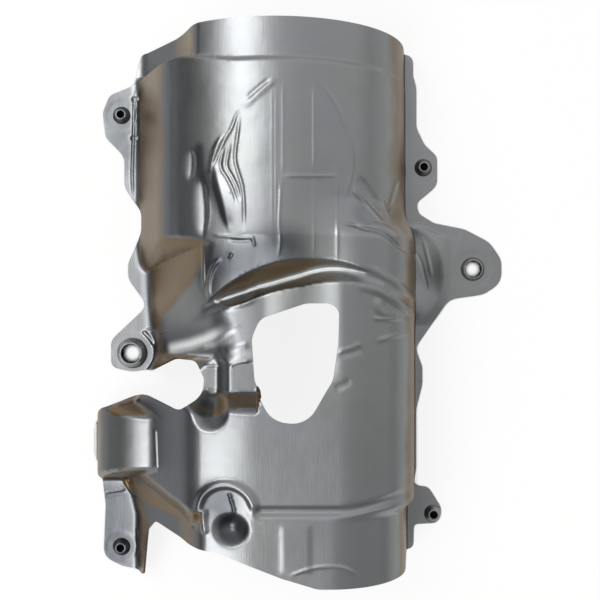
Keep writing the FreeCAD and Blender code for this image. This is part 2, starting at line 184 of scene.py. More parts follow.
EAR_RAMP = (50.0, 13.0, 26.0)


def ear_form(x, y):
    """The right ear: a round pad on the flange, joined to the body by a falling ramp."""
    ramp = np.maximum(34.0 - 1.2 * np.maximum(np.abs(x - EAR_RAMP[0] + 8.0) - 8.0, 0.0), 0.0)
    spread = np.maximum(1.0 - ((y - EAR_RAMP[1]) / EAR_RAMP[2]) ** 2, 0.0)
    return ramp * spread - 2.0


LOBE_X = -69.0
LOBE_TOP = 37.0
LOBE_REACH = 36.0
LOBE_Y = -69.5
LOBE_HALF = 24.0


def lobe_form(x, y):
    """The bulge on the left of the lower body: a quarter round with upright ends."""
    reach = np.maximum(LOBE_X - x, 0.0)
    top = LOBE_TOP - LOBE_REACH + arch(reach, LOBE_REACH, WALL_SLOPE)
    top = top - 2.0 * np.maximum(x - LOBE_X - 6.0, 0.0)
    ends = 82.0 * (1.0 - np.abs(y - LOBE_Y) / LOBE_HALF)
    return lower_of(top, ends, 8.0)


PLATE_EDGE = [(87.0, -102.0), (90.2, -96.5), (95.3, -90.8), (101.0, -87.2), (111.4, -84.8)]


def fall_form(x, y, height):
    """The lower left corner drops by a slanting step, and the ear plate beyond lies level."""
    line = -84.5 - 0.36 * (x + 78.0)
    drop = 9.0 * ease((line - y) / 10.0) * ease((-42.0 - x) / 16.0)
    height = height - drop
    edge_x = line_at(-y, PLATE_EDGE)
    plate = ease((-86.0 - y) / 4.0)
    level = 2.5 * np.maximum(x - edge_x, -2.0) + 80.0 * (1.0 - plate)
    return lower_of(height, level, 4.0)


# Necked fixing holes: place, bore radius, foot radius and height of the neck over the sheet.
HOLES = [(x, y, 2.1, 4.6, 3.4) for x, y in [(-93.2, 96.4), (64.4, 69.1), (-93.2, -128.8), (69.4, -111.5)]]
HOLES.append((-87.6, -27.7, 5.2, 8.0, 5.0))
HOLES.append((90.2, 16.1, 4.5, 6.2, 2.0))


def drawn_height(x, y):
    """Height of the outer face, before its beads, panels and wrinkles."""
    height = waist_form(x, y)
    height = fall_form(x, y, height)
    height = upper_of(height, ear_form(x, y), 8.0)
    height = upper_of(height, lobe_form(x, y), 5.0)
    for hole_x, hole_y, bore_r, foot_r, neck_high in HOLES:
        apart = np.hypot(x - hole_x, y - hole_y)
        level = 80.0 * ease((apart - foot_r - 1.5) / 14.0) - FLANGE_BEND
        height = lower_of(height, level, FLANGE_BEND)
    return upper_of(height, SHEET + 0.0 * x, FLANGE_BEND)


def seen_at(points):
    """The place on the sheet that each pixel of the photograph shows: straight along the
    camera's ray to the height that the form has there, found in a few steps."""
    across = (np.array(points, float) - PHOTO_MIDDLE) * (1.0, -1.0) / PHOTO_LENS
    height = np.full(len(across), 40.0)
    for step in range(12):
        place = across * (CAMERA_HIGH - height)[:, None]
        height = 0.5 * height + 0.5 * drawn_height(place[:, 0], place[:, 1])
    return place


def softened(places):
    """A line with its corners cut twice, a quarter of each run from either end."""
    for turn in range(2):
        inner = [0.75 * places[:-1] + 0.25 * places[1:], 0.25 * places[:-1] + 0.75 * places[1:]]
        middle = np.stack(inner, axis=1).reshape(-1, 2)
        places = np.vstack([places[:1], middle, places[-1:]])
    return places


def from_line(x, y, places):
    """Distance to a line through the places, positive on its right as the photograph shows it
    when the line runs down, and how far along it the nearest one lies, as a share."""
    best = np.full(np.shape(x), 1e9)
    side = np.ones(np.shape(x))
    share = np.zeros(np.shape(x))
    lengths = np.hypot(*np.diff(places, axis=0).T)
    before = np.concatenate([[0.0], np.cumsum(lengths)])
    for i, length in enumerate(lengths):
        run = (places[i + 1] - places[i]) / length
        dx = x - places[i, 0]
        dy = y - places[i, 1]
        along = np.clip(dx * run[0] + dy * run[1], 0.0, length)
        apart = np.hypot(dx - along * run[0], dy - along * run[1])
        nearer = apart < best
        best = np.where(nearer, apart, best)
        side = np.where(nearer, np.where(run[0] * dy > run[1] * dx, 1.0, -1.0), side)
        share = np.where(nearer, (before[i] + along) / before[-1], share)
    return best * side, share


def crease(x, y, places, high, width):
    """A ridge, or a valley where it is negative, along a line, tapering to its ends."""
    low = places.min(axis=0) - width
    far = places.max(axis=0) + width
    near = (x > low[0]) & (x < far[0]) & (y > low[1]) & (y < far[1])
    height = np.zeros(np.shape(x))
    apart, share = from_line(x[near], y[near], places)
    height[near] = high * ease(5.0 * share) * ease(5.0 * (1.0 - share)) * hump(apart / width)
    return height


def facet(x, y, places, high, width):
    """A band along a line that is tilted less than the flank: it starts with a steep wall on
    its left and falls back to the right, or, where it is negative, sinks and ends in one."""
    low = places.min(axis=0) - width
    far = places.max(axis=0) + width
    near = (x > low[0]) & (x < far[0]) & (y > low[1]) & (y < far[1])
    height = np.zeros(np.shape(x))
    apart, share = from_line(x[near], y[near], places)
    taper = np.clip(4.0 * share * (1.0 - share), 0.05, 1.0) ** 0.75
    across = np.clip(-np.sign(high) * apart / (width * taper), -1.0, 1.0)
    profile = (0.5 * (1.0 + across)) ** 1.7 * (1.0 - ease((across - 0.2) / 0.8))
    height[near] = high * taper * ease(4.0 * share) * ease(4.0 * (1.0 - share)) * profile
    return height


# The flatter bands of the wrinkle group and of the arm, read off the photograph: height and
# half width in millimetres, and the pixels that the line runs through.
FACETS = [
    (-3.1, 4.2, [(190, 146), (189, 166), (188, 184)]),
    (-3.2, 5.0, [(199, 172), (200, 195), (201, 212), (202, 244)]),
    (2.2, 5.0, [(214, 156), (221, 180), (227, 198), (230, 216), (233, 238)]),
    (1.9, 4.6, [(168, 351), (190, 346), (205, 341), (216, 335), (229, 328), (246, 322)]),
    (2.0, 3.0, [(224, 132), (218, 148), (214, 163), (210, 178)]),
]
FACETS = [(high, width, softened(seen_at(points))) for high, width, points in FACETS]

# Ridges, and valleys where the height is negative, that drawing and use left, read off the
# photograph: height and half width in millimetres, and the pixels that the line runs through.
CREASES = [
    # The wrinkle group on the upper body
    (-0.4, 1.3, [(239, 108), (235, 118), (231, 129), (225, 138), (220, 149), (215, 161), (210, 172)]),
    (-0.4, 1.2, [(240, 109), (239, 122), (237, 138), (235, 152), (235, 162), (238, 172), (242, 184),
                 (244, 200), (244, 234)]),
    (-0.35, 1.1, [(231, 141), (228, 155), (226, 166), (232, 176), (238, 188), (241, 204)]),
    (-0.35, 1.1, [(225, 145), (221, 158), (220, 168), (227, 178), (233, 190), (238, 206)]),
    (0.5, 1.2, [(205, 190), (209, 205), (208, 222), (204, 236)]),
    (0.5, 1.2, [(202, 236), (203, 262), (204, 290)]),
    (0.3, 2.2, [(277, 78), (262, 90), (250, 101), (243, 108)]),
    (-0.2, 1.8, [(271, 78), (258, 88), (246, 99)]),
    (0.3, 1.2, [(212, 235), (224, 236), (236, 237), (246, 238)]),
    (-0.35, 1.2, [(228, 240), (240, 241), (254, 240)]),
    (0.3, 1.0, [(252, 236), (253, 241), (255, 247)]),
    (0.4, 1.0, [(229, 259), (231, 256), (233, 252)]),
    (0.22, 1.0, [(281, 178), (280, 205), (279, 225), (281, 242), (277, 261)]),
    # Pressed strips along the middle
    (0.06, 0.9, [(272, 78), (272, 238)]),
    (0.06, 0.9, [(276, 78), (276, 238)]),
    (0.1, 0.9, [(283, 78), (283, 180)]),
    (0.32, 1.1, [(314, 78), (314, 178)]),
    (0.12, 1.0, [(314, 172), (314, 262)]),
    (0.25, 1.0, [(337, 172), (337, 266)]),
    (0.25, 1.0, [(281, 176), (310, 176), (340, 176)]),
    (0.2, 1.4, [(314, 80), (325, 88), (333, 99), (341, 114), (347, 131), (353, 154), (352, 174),
                (346, 192), (344, 212)]),
    # The upper left ear's fold
    (0.6, 1.2, [(137, 86), (134, 100), (134, 125), (133, 150), (132, 178), (134, 204)]),
    (0.7, 1.6, [(131, 99), (139, 99)]),
    (0.7, 1.6, [(130, 138), (138, 138)]),
    # Folds where the right wall meets the waist
    (1.1, 1.5, [(352, 188), (361, 199), (371, 209), (384, 224)]),
    (-1.0, 2.8, [(358, 176), (371, 195), (384, 212)]),
    (0.9, 1.4, [(401, 178), (397, 196), (390, 216)]),
    (-0.6, 1.4, [(397, 180), (392, 198), (388, 214)]),
    (0.5, 1.2, [(382, 198), (386, 208), (390, 220)]),
    (-1.1, 1.6, [(337, 223), (352, 224), (364, 229), (378, 231), (390, 238), (400, 249), (417, 259)]),
    (0.6, 1.6, [(366, 224), (384, 225), (398, 235), (407, 243)]),
    (-0.9, 2.2, [(408, 195), (410, 218), (413, 240), (418, 262)]),
    (0.5, 1.5, [(412, 240), (419, 256), (423, 270), (428, 296)]),
    (-0.5, 1.6, [(422, 236), (427, 255), (432, 278)]),
    (-3.5, 4.5, [(408, 204), (418, 216), (434, 225), (462, 233)]),
    # Facet, arc and crease beside the window
    (0.9, 3.6, [(381, 297), (378, 307), (386, 314), (402, 317)]),
    (0.5, 1.3, [(371, 318), (389, 320), (409, 318)]),
    (0.5, 1.8, [(374, 342), (394, 336), (415, 328)]),
    (0.25, 1.8, [(337, 352), (350, 349), (363, 343)]),
    (-0.35, 2.4, [(338, 356), (352, 353), (364, 348)]),
    (-0.4, 2.6, [(334, 389), (342, 386), (352, 380)]),
    # The arm, the lug's pad and the bridge
    (-0.6, 2.2, [(160, 356), (176, 355), (194, 353), (210, 349), (222, 349)]),
    (0.4, 2.4, [(224, 352), (236, 348), (250, 344)]),
    (0.4, 2.0, [(190, 358), (202, 357), (213, 358)]),
    (0.6, 1.0, [(144, 329), (156, 329), (168, 329)]),
    (0.9, 1.6, [(142, 330), (150, 338), (154, 346)]),
    (0.5, 1.0, [(199, 366), (210, 366), (220, 366)]),
    (0.5, 1.0, [(228, 367), (236, 363), (251, 361)]),
    (-0.8, 1.6, [(205, 394), (220, 394), (238, 394)]),
    (0.5, 1.0, [(234, 407), (246, 407), (258, 408)]),
    # The left end of the groove
    (0.8, 1.6, [(222, 257), (212, 267), (208, 283), (209, 300)]),
    (0.8, 2.2, [(206, 299), (218, 303), (232, 307), (246, 303), (258, 296)]),
    # The ear plate's fold and the line across it
    (0.7, 1.2, [(102, 467), (115, 474), (125, 483), (132, 493), (137, 502), (138, 518)]),
    (-0.7, 1.4, [(122, 476), (131, 485), (140, 498), (141, 520)]),
    (0.5, 1.0, [(103, 493), (114, 491), (127, 489)]),
    (-0.4, 1.2, [(104, 496), (114, 495), (127, 492)]),
    (0.5, 1.0, [(137, 526), (138, 540), (137, 557)]),
    # The lobe's rim and its right edge
    (0.9, 1.2, [(111, 407), (120, 404), (132, 401), (142, 397)]),
    (0.9, 1.3, [(155, 426), (156, 450), (157, 474)]),
    # The cup and its neighbours
    (0.7, 1.0, [(228, 491), (231, 500), (234, 510), (234, 518)]),
    (1.4, 2.2, [(204, 508), (203, 520), (205, 536)]),
    (-1.0, 1.8, [(200, 512), (197, 520), (193, 530)]),
    (1.0, 1.4, [(195, 511), (192, 517), (189, 524)]),
    (0.5, 1.4, [(288, 576), (302, 571), (318, 567), (334, 566), (348, 569), (358, 577)]),
]
CREASES = [(high, width, softened(seen_at(points))) for high, width, points in CREASES]

CUP = (-31.0, -103.5, 8.5)    # middle and radius of the cup's deep pocket
CUP_DEEP = 5.5
CUP_WIDE = 1.1               # the pocket is this much wider than long
CUP_RING = (-33.5, -96.0, 13.0)
RING_HIGH = 1.5
RING_HALF = 2.8
SHELF_DEEP = 1.1             # the sheet sinks this far inside the ring
BEAD_Y = -95.0
BEAD_DEEP = 1.6
BEAD_HALF = 3.2
PAD = (-2.0, -112.0)
PAD_HIGH = 0.3


def pressed_height(x, y):
    """Height of the outer face with all that is pressed or wrinkled into it."""
    height = drawn_height(x, y)
    bead = hump((y - BEAD_Y - 5.0 * ease((x - 15.0) / 40.0)) / BEAD_HALF)
    height = height - BEAD_DEEP * bead * ease((x + 24.0) / 6.0) * ease((height - 8.0) / 10.0)
    ring_apart = np.hypot(x - CUP_RING[0], y - CUP_RING[1])
    standing = ease((y - CUP_RING[1] + 3.0) / 6.0)
    height = height + RING_HIGH * hump((ring_apart - CUP_RING[2]) / RING_HALF) * standing
    cup_apart = np.hypot((x - CUP[0]) / CUP_WIDE, y - CUP[1])
    height = height - CUP_DEEP * hump(cup_apart / CUP[2]) - SHELF_DEEP * hump(ring_apart / CUP_RING[2])
    pad = ease((8.0 - np.abs(x - PAD[0])) / 3.0) * ease((12.0 - np.abs(y - PAD[1])) / 3.0)
    height = height + PAD_HIGH * pad
    for high, width, places in CREASES:
        height = height + crease(x, y, places, high, width)
    for high, width, places in FACETS:
        height = height + facet(x, y, places, high, width)
    return np.maximum(height, SHEET)


# The trim line, the window and how far apart the mesh's points lie, in millimetres.
TRIM = [(59, 128, 4), (59, 117, 6), (60.7, 111, 6), (60.7, 90, 8), (65, 81, 8), (71.6, 75, 5),
        (71.6, 60, 6), (66, 55, 6), (60.7, 51, 4), (62, 45, 4), (70, 40, 8), (86, 36.8, 10),
        (99, 30, 11), (105.2, 21, 9), (105.2, 9, 9), (96, 3, 10), (78, 0.5, 10),
        (64.4, -19, 12), (60.2, -25, 6), (63.9, -35, 8), (63.9, -44, 8), (60.7, -57, 10),
        (60.7, -88, 12), (59.2, -97.4, 3), (67, -97.8, 4), (74, -109, 5), (72.5, -116.4, 4),
        (59.4, -117, 2), (59.2, -130, 3), (8, -130, 12), (-8, -125.2, 10), (-38, -113.6, 14),
        (-52, -113.2, 10), (-72, -109.2, 4), (-77, -115.5, 3), (-80.4, -141.2, 2),
        (-93, -138.7, 6), (-102.6, -134, 7), (-101.4, -107, 10), (-103.7, -88, 6),
        (-107.3, -81, 8), (-107.3, -66, 8), (-102, -55, 9), (-77.3, -46.2, 10),
        (-57, -51.6, 8), (-46, -45, 8), (-45.2, -37, 6), (-49.5, -28.6, 8), (-62, -28.4, 8),
        (-76, -35.4, 14), (-88, -37.2, 6), (-98.6, -35, 4), (-98.6, -21, 6), (-81, -4.5, 4),
        (-81.2, -0.5, 4), (-89.7, 11, 8), (-89.7, 19, 6), (-82.2, 36, 8), (-82.2, 45, 8),
        (-91.6, 59, 8), (-91.6, 75, 8), (-101.4, 85, 5), (-103, 98, 6), (-99.5, 106.8, 5),
        (-86.4, 112, 4), (-82.8, 128, 3)]
WINDOW = [(13.5, -1.5, 9), (17.6, -4.5, 5), (17.2, -19, 12), (14.8, -36, 10), (3, -56.5, 13),
          (-13, -54.6, 12), (-21.2, -38, 16), (-22.4, -17.5, 10), (-18.5, -8.6, 8), (2, -1.6, 12)]
EDGE_STEP = 0.9
CREASED_STEP = 0.48
FINE_STEP = 0.88
PLAIN_STEP = 1.7
INNER_STEP = 2.6


def rounded_outline(corners, step):
    """Points of a closed outline: straight runs with an arc at each corner, evenly stepped."""
    runs = []
    count = len(corners)
    for i in range(count):
        here = np.array(corners[i][:2], float)
        back = np.array(corners[i - 1][:2], float) - here
        ahead = np.array(corners[(i + 1) % count][:2], float) - here
        room = 0.49 * min(np.hypot(*back), np.hypot(*ahead))
        back = back / np.hypot(*back)
        ahead = ahead / np.hypot(*ahead)
        half = 0.5 * np.arccos(np.clip(back @ ahead, -1.0, 1.0))
        cut = min(corners[i][2] / np.tan(half), room)
        radius = cut * np.tan(half)
        inward = (back + ahead) / np.hypot(*(back + ahead))
        centre = here + inward * cut / np.cos(half)
        first = here + back * cut - centre
        last = here + ahead * cut - centre
        sweep = np.pi - 2.0 * half
        turn = np.sign(first[0] * last[1] - first[1] * last[0])
        angle = np.linspace(0.0, turn * sweep, 12)[:, None]
        arc = first * np.cos(angle) + np.array([-first[1], first[0]]) * np.sin(angle)
        runs.append(centre + arc)
    points = np.vstack(runs + [runs[0][:1]])
    lengths = np.hypot(*np.diff(points, axis=0).T)
    along = np.concatenate([[0.0], np.cumsum(lengths)])
    wanted = np.linspace(0.0, along[-1], int(along[-1] / step) + 1)[:-1]
    return np.column_stack([np.interp(wanted, along, points[:, k]) for k in (0, 1)])


def ring(x, y, radius, step):
    """Points round a circle, about the step apart."""
    angle = np.linspace(0.0, 2.0 * np.pi, max(int(2.0 * np.pi * radius / step), 14), endpoint=False)
    return np.column_stack([x + radius * np.cos(angle), y + radius * np.sin(angle)])


def inside(points, outline):
    """Whether each point lies inside a closed outline, by counting the edges to its right."""
    found = np.zeros(len(points), bool)
    px, py = points.T
    for (ax, ay), (bx, by) in zip(outline, np.roll(outline, -1, axis=0)):
        if ay == by:
            continue
        crosses = (ay > py) != (by > py)
        found ^= crosses & (px < ax + (bx - ax) * (py - ay) / (by - ay))
    return found


def near_outline(points, outline, reach):
    """Whether each point lies within reach of an outline's points."""
    found = np.zeros(len(points), bool)
    for ax, ay in outline:
        found |= np.hypot(points[:, 0] - ax, points[:, 1] - ay) < reach
    return found


def skin_heights(places, inner):
    """Points of the outer or the inner skin over places on the sheet, necks included. The
    inner skin lies one sheet thickness inside, square to the form."""
    x, y = places.T
    h = 0.25
    height = pressed_height(x, y)
    slope_x = (pressed_height(x + h, y) - pressed_height(x - h, y)) / (2.0 * h)
    slope_y = (pressed_height(x, y + h) - pressed_height(x, y - h)) / (2.0 * h)
    for hole_x, hole_y, bore_r, foot_r, neck_high in HOLES:
        apart = np.hypot(x - hole_x, y - hole_y)
        near = apart < foot_r + 0.5
        if inner:
            mouth_r = foot_r - SHEET
            deep = 0.6 * neck_high
            rise = np.clip((mouth_r - apart) / (mouth_r - bore_r), 0.0, 1.0) * deep
            height = np.where(near, rise + SHEET, height)
        else:
            lip_r = bore_r + 0.55
            rise = np.clip((foot_r - apart) / (foot_r - lip_r), 0.0, 1.0) * neck_high
            height = np.where(near, rise + SHEET, height)
        slope_x = np.where(near, 0.0, slope_x)
        slope_y = np.where(near, 0.0, slope_y)
    points = np.column_stack([x, y, height])
    if inner:
        normal = np.column_stack([-slope_x, -slope_y, np.ones(len(x))])
        points -= SHEET * normal / np.linalg.norm(normal, axis=1)[:, None]
        points[:, 2] = np.maximum(points[:, 2], 0.0)
    return points, np.column_stack([slope_x, slope_y])


ACROSS = np.arange(-125.0, 125.0, 0.5)
across, along = np.meshgrid(ACROSS, np.arange(-125.0, 125.0, 4.0))
slope = np.gradient(drawn_height(across, along), 0.5, axis=1)
DEVELOPED = np.cumsum(np.sqrt(1.0 + slope ** 2).mean(axis=0)) * 0.5


def stretched(x):
    """How far a place lies from the left along the developed section, the middle of many
    sections, so that points spread evenly over the walls as well."""
    return np.interp(x, ACROSS, DEVELOPED)


def unstretched(u):
    """The place at a developed distance from the left."""
    return np.interp(u, DEVELOPED, ACROSS)


def spread_points(step, low, high):
    """A staggered grid of points between two corners, even in the developed sheet."""
    rows = np.arange(low[1], high[1], 0.866 * step)
    columns = np.arange(*stretched(np.array([low[0], high[0]])), step)
    u, y = np.meshgrid(columns, rows)
    u = u + (np.arange(len(rows)) % 2)[:, None] * 0.5 * step
    return np.column_stack([unstretched(u.ravel()), y.ravel()])


def bending(places):
    """How sharply the face bends at each place: the greatest second difference of height."""
    x, y = places.T
    h = 0.7
    middle = pressed_height(x, y)
    bend = np.zeros(len(x))
    for dx, dy in [(h, 0.0), (0.0, h), (h, h), (h, -h)]:
        second = pressed_height(x + dx, y + dy) + pressed_height(x - dx, y - dy) - 2.0 * middle
        bend = np.maximum(bend, np.abs(second) / (dx * dx + dy * dy))
    return bend


def skin_mesh(loops, places):
    """Triangles over the places and the loops' points, with the loops as fixed edges. Places
    outside the sheet or in a hole are left out."""
    points = np.vstack(loops + [places])
    flat = np.column_stack([stretched(points[:, 0]), points[:, 1]])
    edges = []
    flat_loops = []
    start = 0
    for loop in loops:
        count = len(loop)
        edges += [(start + i, start + (i + 1) % count) for i in range(count)]
        flat_loops.append(flat[start:start + count])
        start += count
    found = geometry.delaunay_2d_cdt([Vector(p) for p in flat.tolist()], edges, [], 0, 1e-6, False)
    triangles = np.array(found[2])
    middle = flat[triangles].mean(axis=1)
    keep = inside(middle, flat_loops[0])
    for loop in flat_loops[1:]:
        keep &= ~inside(middle, loop)
    return points, triangles[keep]


outline = rounded_outline(TRIM, EDGE_STEP)
window = rounded_outline(WINDOW, EDGE_STEP)
bores = [ring(x, y, bore_r, 0.6) for x, y, bore_r, foot_r, neck_high in HOLES]
loops = [outline, window] + bores
corner_low = outline.min(axis=0)
corner_high = outline.max(axis=0)


def clear_places(places):
    """The places that lie on the sheet and clear of its edges and necks."""
    keep = inside(places, outline) & ~inside(places, window)
    keep &= ~near_outline(places, np.vstack([outline, window]), 0.6 * EDGE_STEP)
    for x, y, bore_r, foot_r, neck_high in HOLES:
        keep &= np.hypot(places[:, 0] - x, places[:, 1] - y) > foot_r + 0.6
    return places[keep]


def creased(places):
    """Whether each place lies on one of the narrow creases."""
    x, y = places.T
    found = np.zeros(len(places), bool)
    for high, width, line in CREASES:
        if width < 1.9:
            found |= crease(x, y, line, 1.0, 1.15 * width) > 0.02
    return found


neck_rings = []
for x, y, bore_r, foot_r, neck_high in HOLES:
    lip_r = bore_r + 0.55
    half_way = 0.5 * (lip_r + foot_r)
    for radius in [bore_r + 0.3, lip_r, lip_r + 0.25, half_way, foot_r - 0.3, foot_r, foot_r + 0.35]:
        neck_rings.append(ring(x, y, radius, 0.6))
neck_places = np.vstack(neck_rings)

closest = spread_points(CREASED_STEP, corner_low, corner_high)
closest = clear_places(closest[creased(closest)])
fine = spread_points(FINE_STEP, corner_low, corner_high)
fine = clear_places(fine[~creased(fine)])
fine = fine[bending(fine) >= 0.03]
plain = spread_points(PLAIN_STEP, corner_low, corner_high)
plain = clear_places(plain[~creased(plain)])
plain = plain[bending(plain) < 0.03]
inner = clear_places(spread_points(INNER_STEP, corner_low, corner_high))
outer_flat, outer_faces = skin_mesh(loops, np.vstack([plain, fine, closest, neck_places]))
inner_flat, inner_faces = skin_mesh(loops, np.vstack([inner, neck_places]))
outer_points, outer_slope = skin_heights(outer_flat, False)
inner_points, inner_slope = skin_heights(inner_flat, True)

rim_faces = []
start = 0
for loop in loops:
    count = len(loop)
    i = np.arange(count)
    j = (i + 1) % count
    under = start + len(outer_points)
    rim_faces.append(np.column_stack([start + i, start + j, under + j]))
    rim_faces.append(np.column_stack([start + i, under + j, under + i]))
    start += count
rim_faces = np.vstack(rim_faces)

shift = -0.5 * (corner_low + corner_high)
points = np.vstack([outer_points, inner_points])
points[:, :2] += shift
faces = [outer_faces, inner_faces[:, ::-1] + len(outer_points), rim_faces]
faces = np.vstack(faces)

mesh = bpy.data.meshes.new("heat_shield_pressing")
mesh.from_pydata((points * MM).tolist(), [], faces.tolist())
mesh.validate()
mesh.polygons.foreach_set("use_smooth", [True] * len(mesh.polygons))
mesh.set_sharp_from_angle(angle=np.radians(50.0))
# Three marks of painted light are kept as a value at every point of the mesh: a brown painted
# reflection on the steep walls and in the groove, painted shade as dark dull metal, and painted
# highlight as light metal. Each patch is the pixels of a line, its reach in millimetres and its share.
# Brown patches of painted reflection on the lower left corner and on the lobe's upper end.
BROWN_PATCHES = [
    ([(128, 482), (150, 498), (176, 510), (196, 518)], 12.0, 1.0),
    ([(120, 470), (140, 478)], 7.0, 0.9),
    ([(112, 412), (140, 410)], 7.0, 1.0),
]
# Patches of painted shade: the shoulder panel, the cup, both left ear plates and strips in the wrinkle
# group.
PAINTED_SHADE_PATCHES = [
    ([(220, 266), (236, 262), (262, 254), (285, 250)], 17.0, 1.1),
    ([(210, 500), (222, 502)], 12.0, 1.25),
    ([(110, 500), (114, 548)], 22.0, 0.95),
    ([(110, 96), (126, 150)], 18.0, 0.6),
    ([(199, 148), (201, 178)], 4.0, 1.1),
    ([(200, 168), (212, 188), (226, 220)], 4.5, 1.0),
]
# Patches of painted highlight along the arm's crest and just below it.
PAINTED_HIGHLIGHT_PATCHES = [
    ([(172, 348), (190, 344), (205, 339), (222, 331)], 4.5, 0.9),
    ([(188, 357), (212, 357)], 2.2, 0.8),
    ([(206, 345), (228, 340)], 3.0, 0.6),
]
BROWN_FROM = 70.0            # a full brown patch counts as a wall of this many degrees
GROOVE_BROWN = 13.0          # the groove and the side face count as steeper by these degrees
SIDE_BROWN = 10.0


def patches(x, y, lines):
    """How strongly patches mark each place: each one's share, falling smoothly to nothing at
    its reach from its line, and the strongest of them where they overlap."""
    amount = np.zeros(len(x))
    for points, reach, share in lines:
        apart = from_line(x, y, seen_at(points))[0]
        amount = np.maximum(amount, share * hump(apart / reach))
    return amount


x, y = np.vstack([outer_flat, inner_flat]).T
slope_x, slope_y = np.vstack([outer_slope, inner_slope]).T
steep = np.degrees(np.arctan(np.hypot(slope_x, slope_y)))
groove_y = GROOVE_TOP[1] - (x - GROOVE_TOP[0]) ** 2 / GROOVE_TOP[2]
in_groove = hump((y - groove_y + 5.0) / 9.0) * hump((x + 6.0) / 44.0)
side = SIDE_FACE[1] + SIDE_FACE[2] * (x - SIDE_FACE[0])
arm = ARM_FACE[0] + ARM_FACE[1] * x + ARM_FACE[2] * y
on_side = ease((arm - side) / 5.0 + 0.5) * ease((33.0 - y) / 5.0)
on_side = on_side * ease((-38.0 - x) / 6.0) * ease((y + 24.0) / 8.0)
# Painted reflection: brown is laid on by steepness, and more in the groove and on the side face, standing
# in for the brown room that steep walls reflect.
painted_brown_reflection = steep + GROOVE_BROWN * in_groove + SIDE_BROWN * on_side
painted_brown_reflection = np.maximum(painted_brown_reflection, BROWN_FROM * patches(x, y, BROWN_PATCHES))
# Painted highlight where the arm's crest shows bright.
painted_highlight = patches(x, y, PAINTED_HIGHLIGHT_PATCHES)
leaning = (0.4 + 0.6 * ease(slope_x / 0.6)) * (1.0 - 0.5 * ease(slope_y / 0.5))
# Painted shade: darker on steep walls that lean left, facing the dark side of the room, less in the
# groove and under a painted highlight.
flank_shade = (1.0 - in_groove) * ease((steep - 33.0) / 12.0) * leaning * (1.0 - painted_highlight)
# Painted shade in the cup's pocket and round the boss.
pocket_shade = 1.5 * hump(np.hypot(x - CUP[0], y - CUP[1]) / 11.0)
pocket_shade = pocket_shade + hump(np.hypot(x - BOSS[0], y - BOSS[1]) / 10.0)
painted_shade = np.minimum(flank_shade + pocket_shade + patches(x, y, PAINTED_SHADE_PATCHES), 1.0)
for name, values in [("painted_brown_reflection", painted_brown_reflection), ("painted_shade", painted_shade), ("painted_highlight", painted_highlight)]:
    mark = mesh.attributes.new(name, "FLOAT", "POINT")
    mark.data.foreach_set("value", values)
shield = bpy.data.objects.new("pressed_shield", mesh)
bpy.context.scene.collection.objects.link(shield)
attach(shield, "root")
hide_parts("heat_shield")


def linear(hex_colour):
    """The linear colour of an sRGB hex value."""
    parts = [int(hex_colour[i:i + 2], 16) / 255.0 for i in (1, 3, 5)]
    return [((c + 0.055) / 1.055) ** 2.4 if c > 0.04045 else c / 12.92 for c in parts] + [1.0]


def add_node(tree, kind, settings={}, links={}):
    """Adds one node with its settings: values for its sockets by name or number, other
    properties by name, and links from sockets of earlier nodes."""
    node = tree.nodes.new(kind)
    for name, value in settings.items():
        if isinstance(name, int) or name in node.inputs:
            node.inputs[name].default_value = value
        else:
            setattr(node, name, value)
    for name, source in links.items():
        tree.links.new(source, node.inputs[name])
    return node


# Aluminised steel, cold rolled, drawn and used hot: a soft grey shine with fine rolling lines
# along the body, about 0.6 mm apart, drawn coarser than the real ones so that they show. Painted
# light is mixed into its colour: a brown painted reflection on steep walls, painted shade on flanks
# that lean left, in pockets and on patches, and painted highlights along the arm's crest.
steel = bpy.data.materials.new("aluminised_rolled_steel")
steel.use_nodes = True
tree = steel.node_tree
tree.nodes.clear()
place = add_node(tree, "ShaderNodeTexCoord")
# The painted brown reflection, painted shade and painted highlight, read from the mesh.
painted_brown_read = add_node(tree, "ShaderNodeAttribute", {"attribute_name": "painted_brown_reflection"})
painted_shade_read = add_node(tree, "ShaderNodeAttribute", {"attribute_name": "painted_shade"})
painted_highlight_read = add_node(tree, "ShaderNodeAttribute", {"attribute_name": "painted_highlight"})
lines = add_node(tree, "ShaderNodeMapping", {"Scale": (1600.0, 60.0, 400.0)},
                 {"Vector": place.outputs["Object"]})
line_noise = add_node(tree, "ShaderNodeTexNoise", {"Scale": 1.0, "Detail": 3.0},
                      {"Vector": lines.outputs[0]})
cloud = add_node(tree, "ShaderNodeTexNoise", {"Scale": 45.0, "Detail": 4.0},
                 {"Vector": place.outputs["Object"]})
hue = add_node(tree, "ShaderNodeTexNoise", {"Scale": 26.0, "Detail": 2.0},
               {"Vector": place.outputs["Object"]})
wobble = add_node(tree, "ShaderNodeMath", {"operation": "MULTIPLY_ADD", 1: 14.0},
                  {0: cloud.outputs[0], 2: painted_brown_read.outputs["Fac"]})
brown = add_node(tree, "ShaderNodeMapRange",
                 {"interpolation_type": "SMOOTHSTEP", "From Min": 61.0, "From Max": 72.0},
                 {"Value": wobble.outputs[0]})
bare = add_node(tree, "ShaderNodeMix",
                {"data_type": "RGBA", 6: linear("#8e918b"), 7: linear("#8f9098")},
                {0: hue.outputs[0]})
# Painted highlight: near white metal.
lighter = add_node(tree, "ShaderNodeMix", {"data_type": "RGBA", 7: linear("#eceef0")},
                   {0: painted_highlight_read.outputs["Fac"], 6: bare.outputs[2]})
dark_share = add_node(tree, "ShaderNodeMath", {"operation": "MULTIPLY", 1: 0.8},
                      {0: painted_shade_read.outputs["Fac"]})
# Painted shade: darker, duller metal.
darker = add_node(tree, "ShaderNodeMix", {"data_type": "RGBA", 7: linear("#44474d")},
                  {0: dark_share.outputs[0], 6: lighter.outputs[2]})
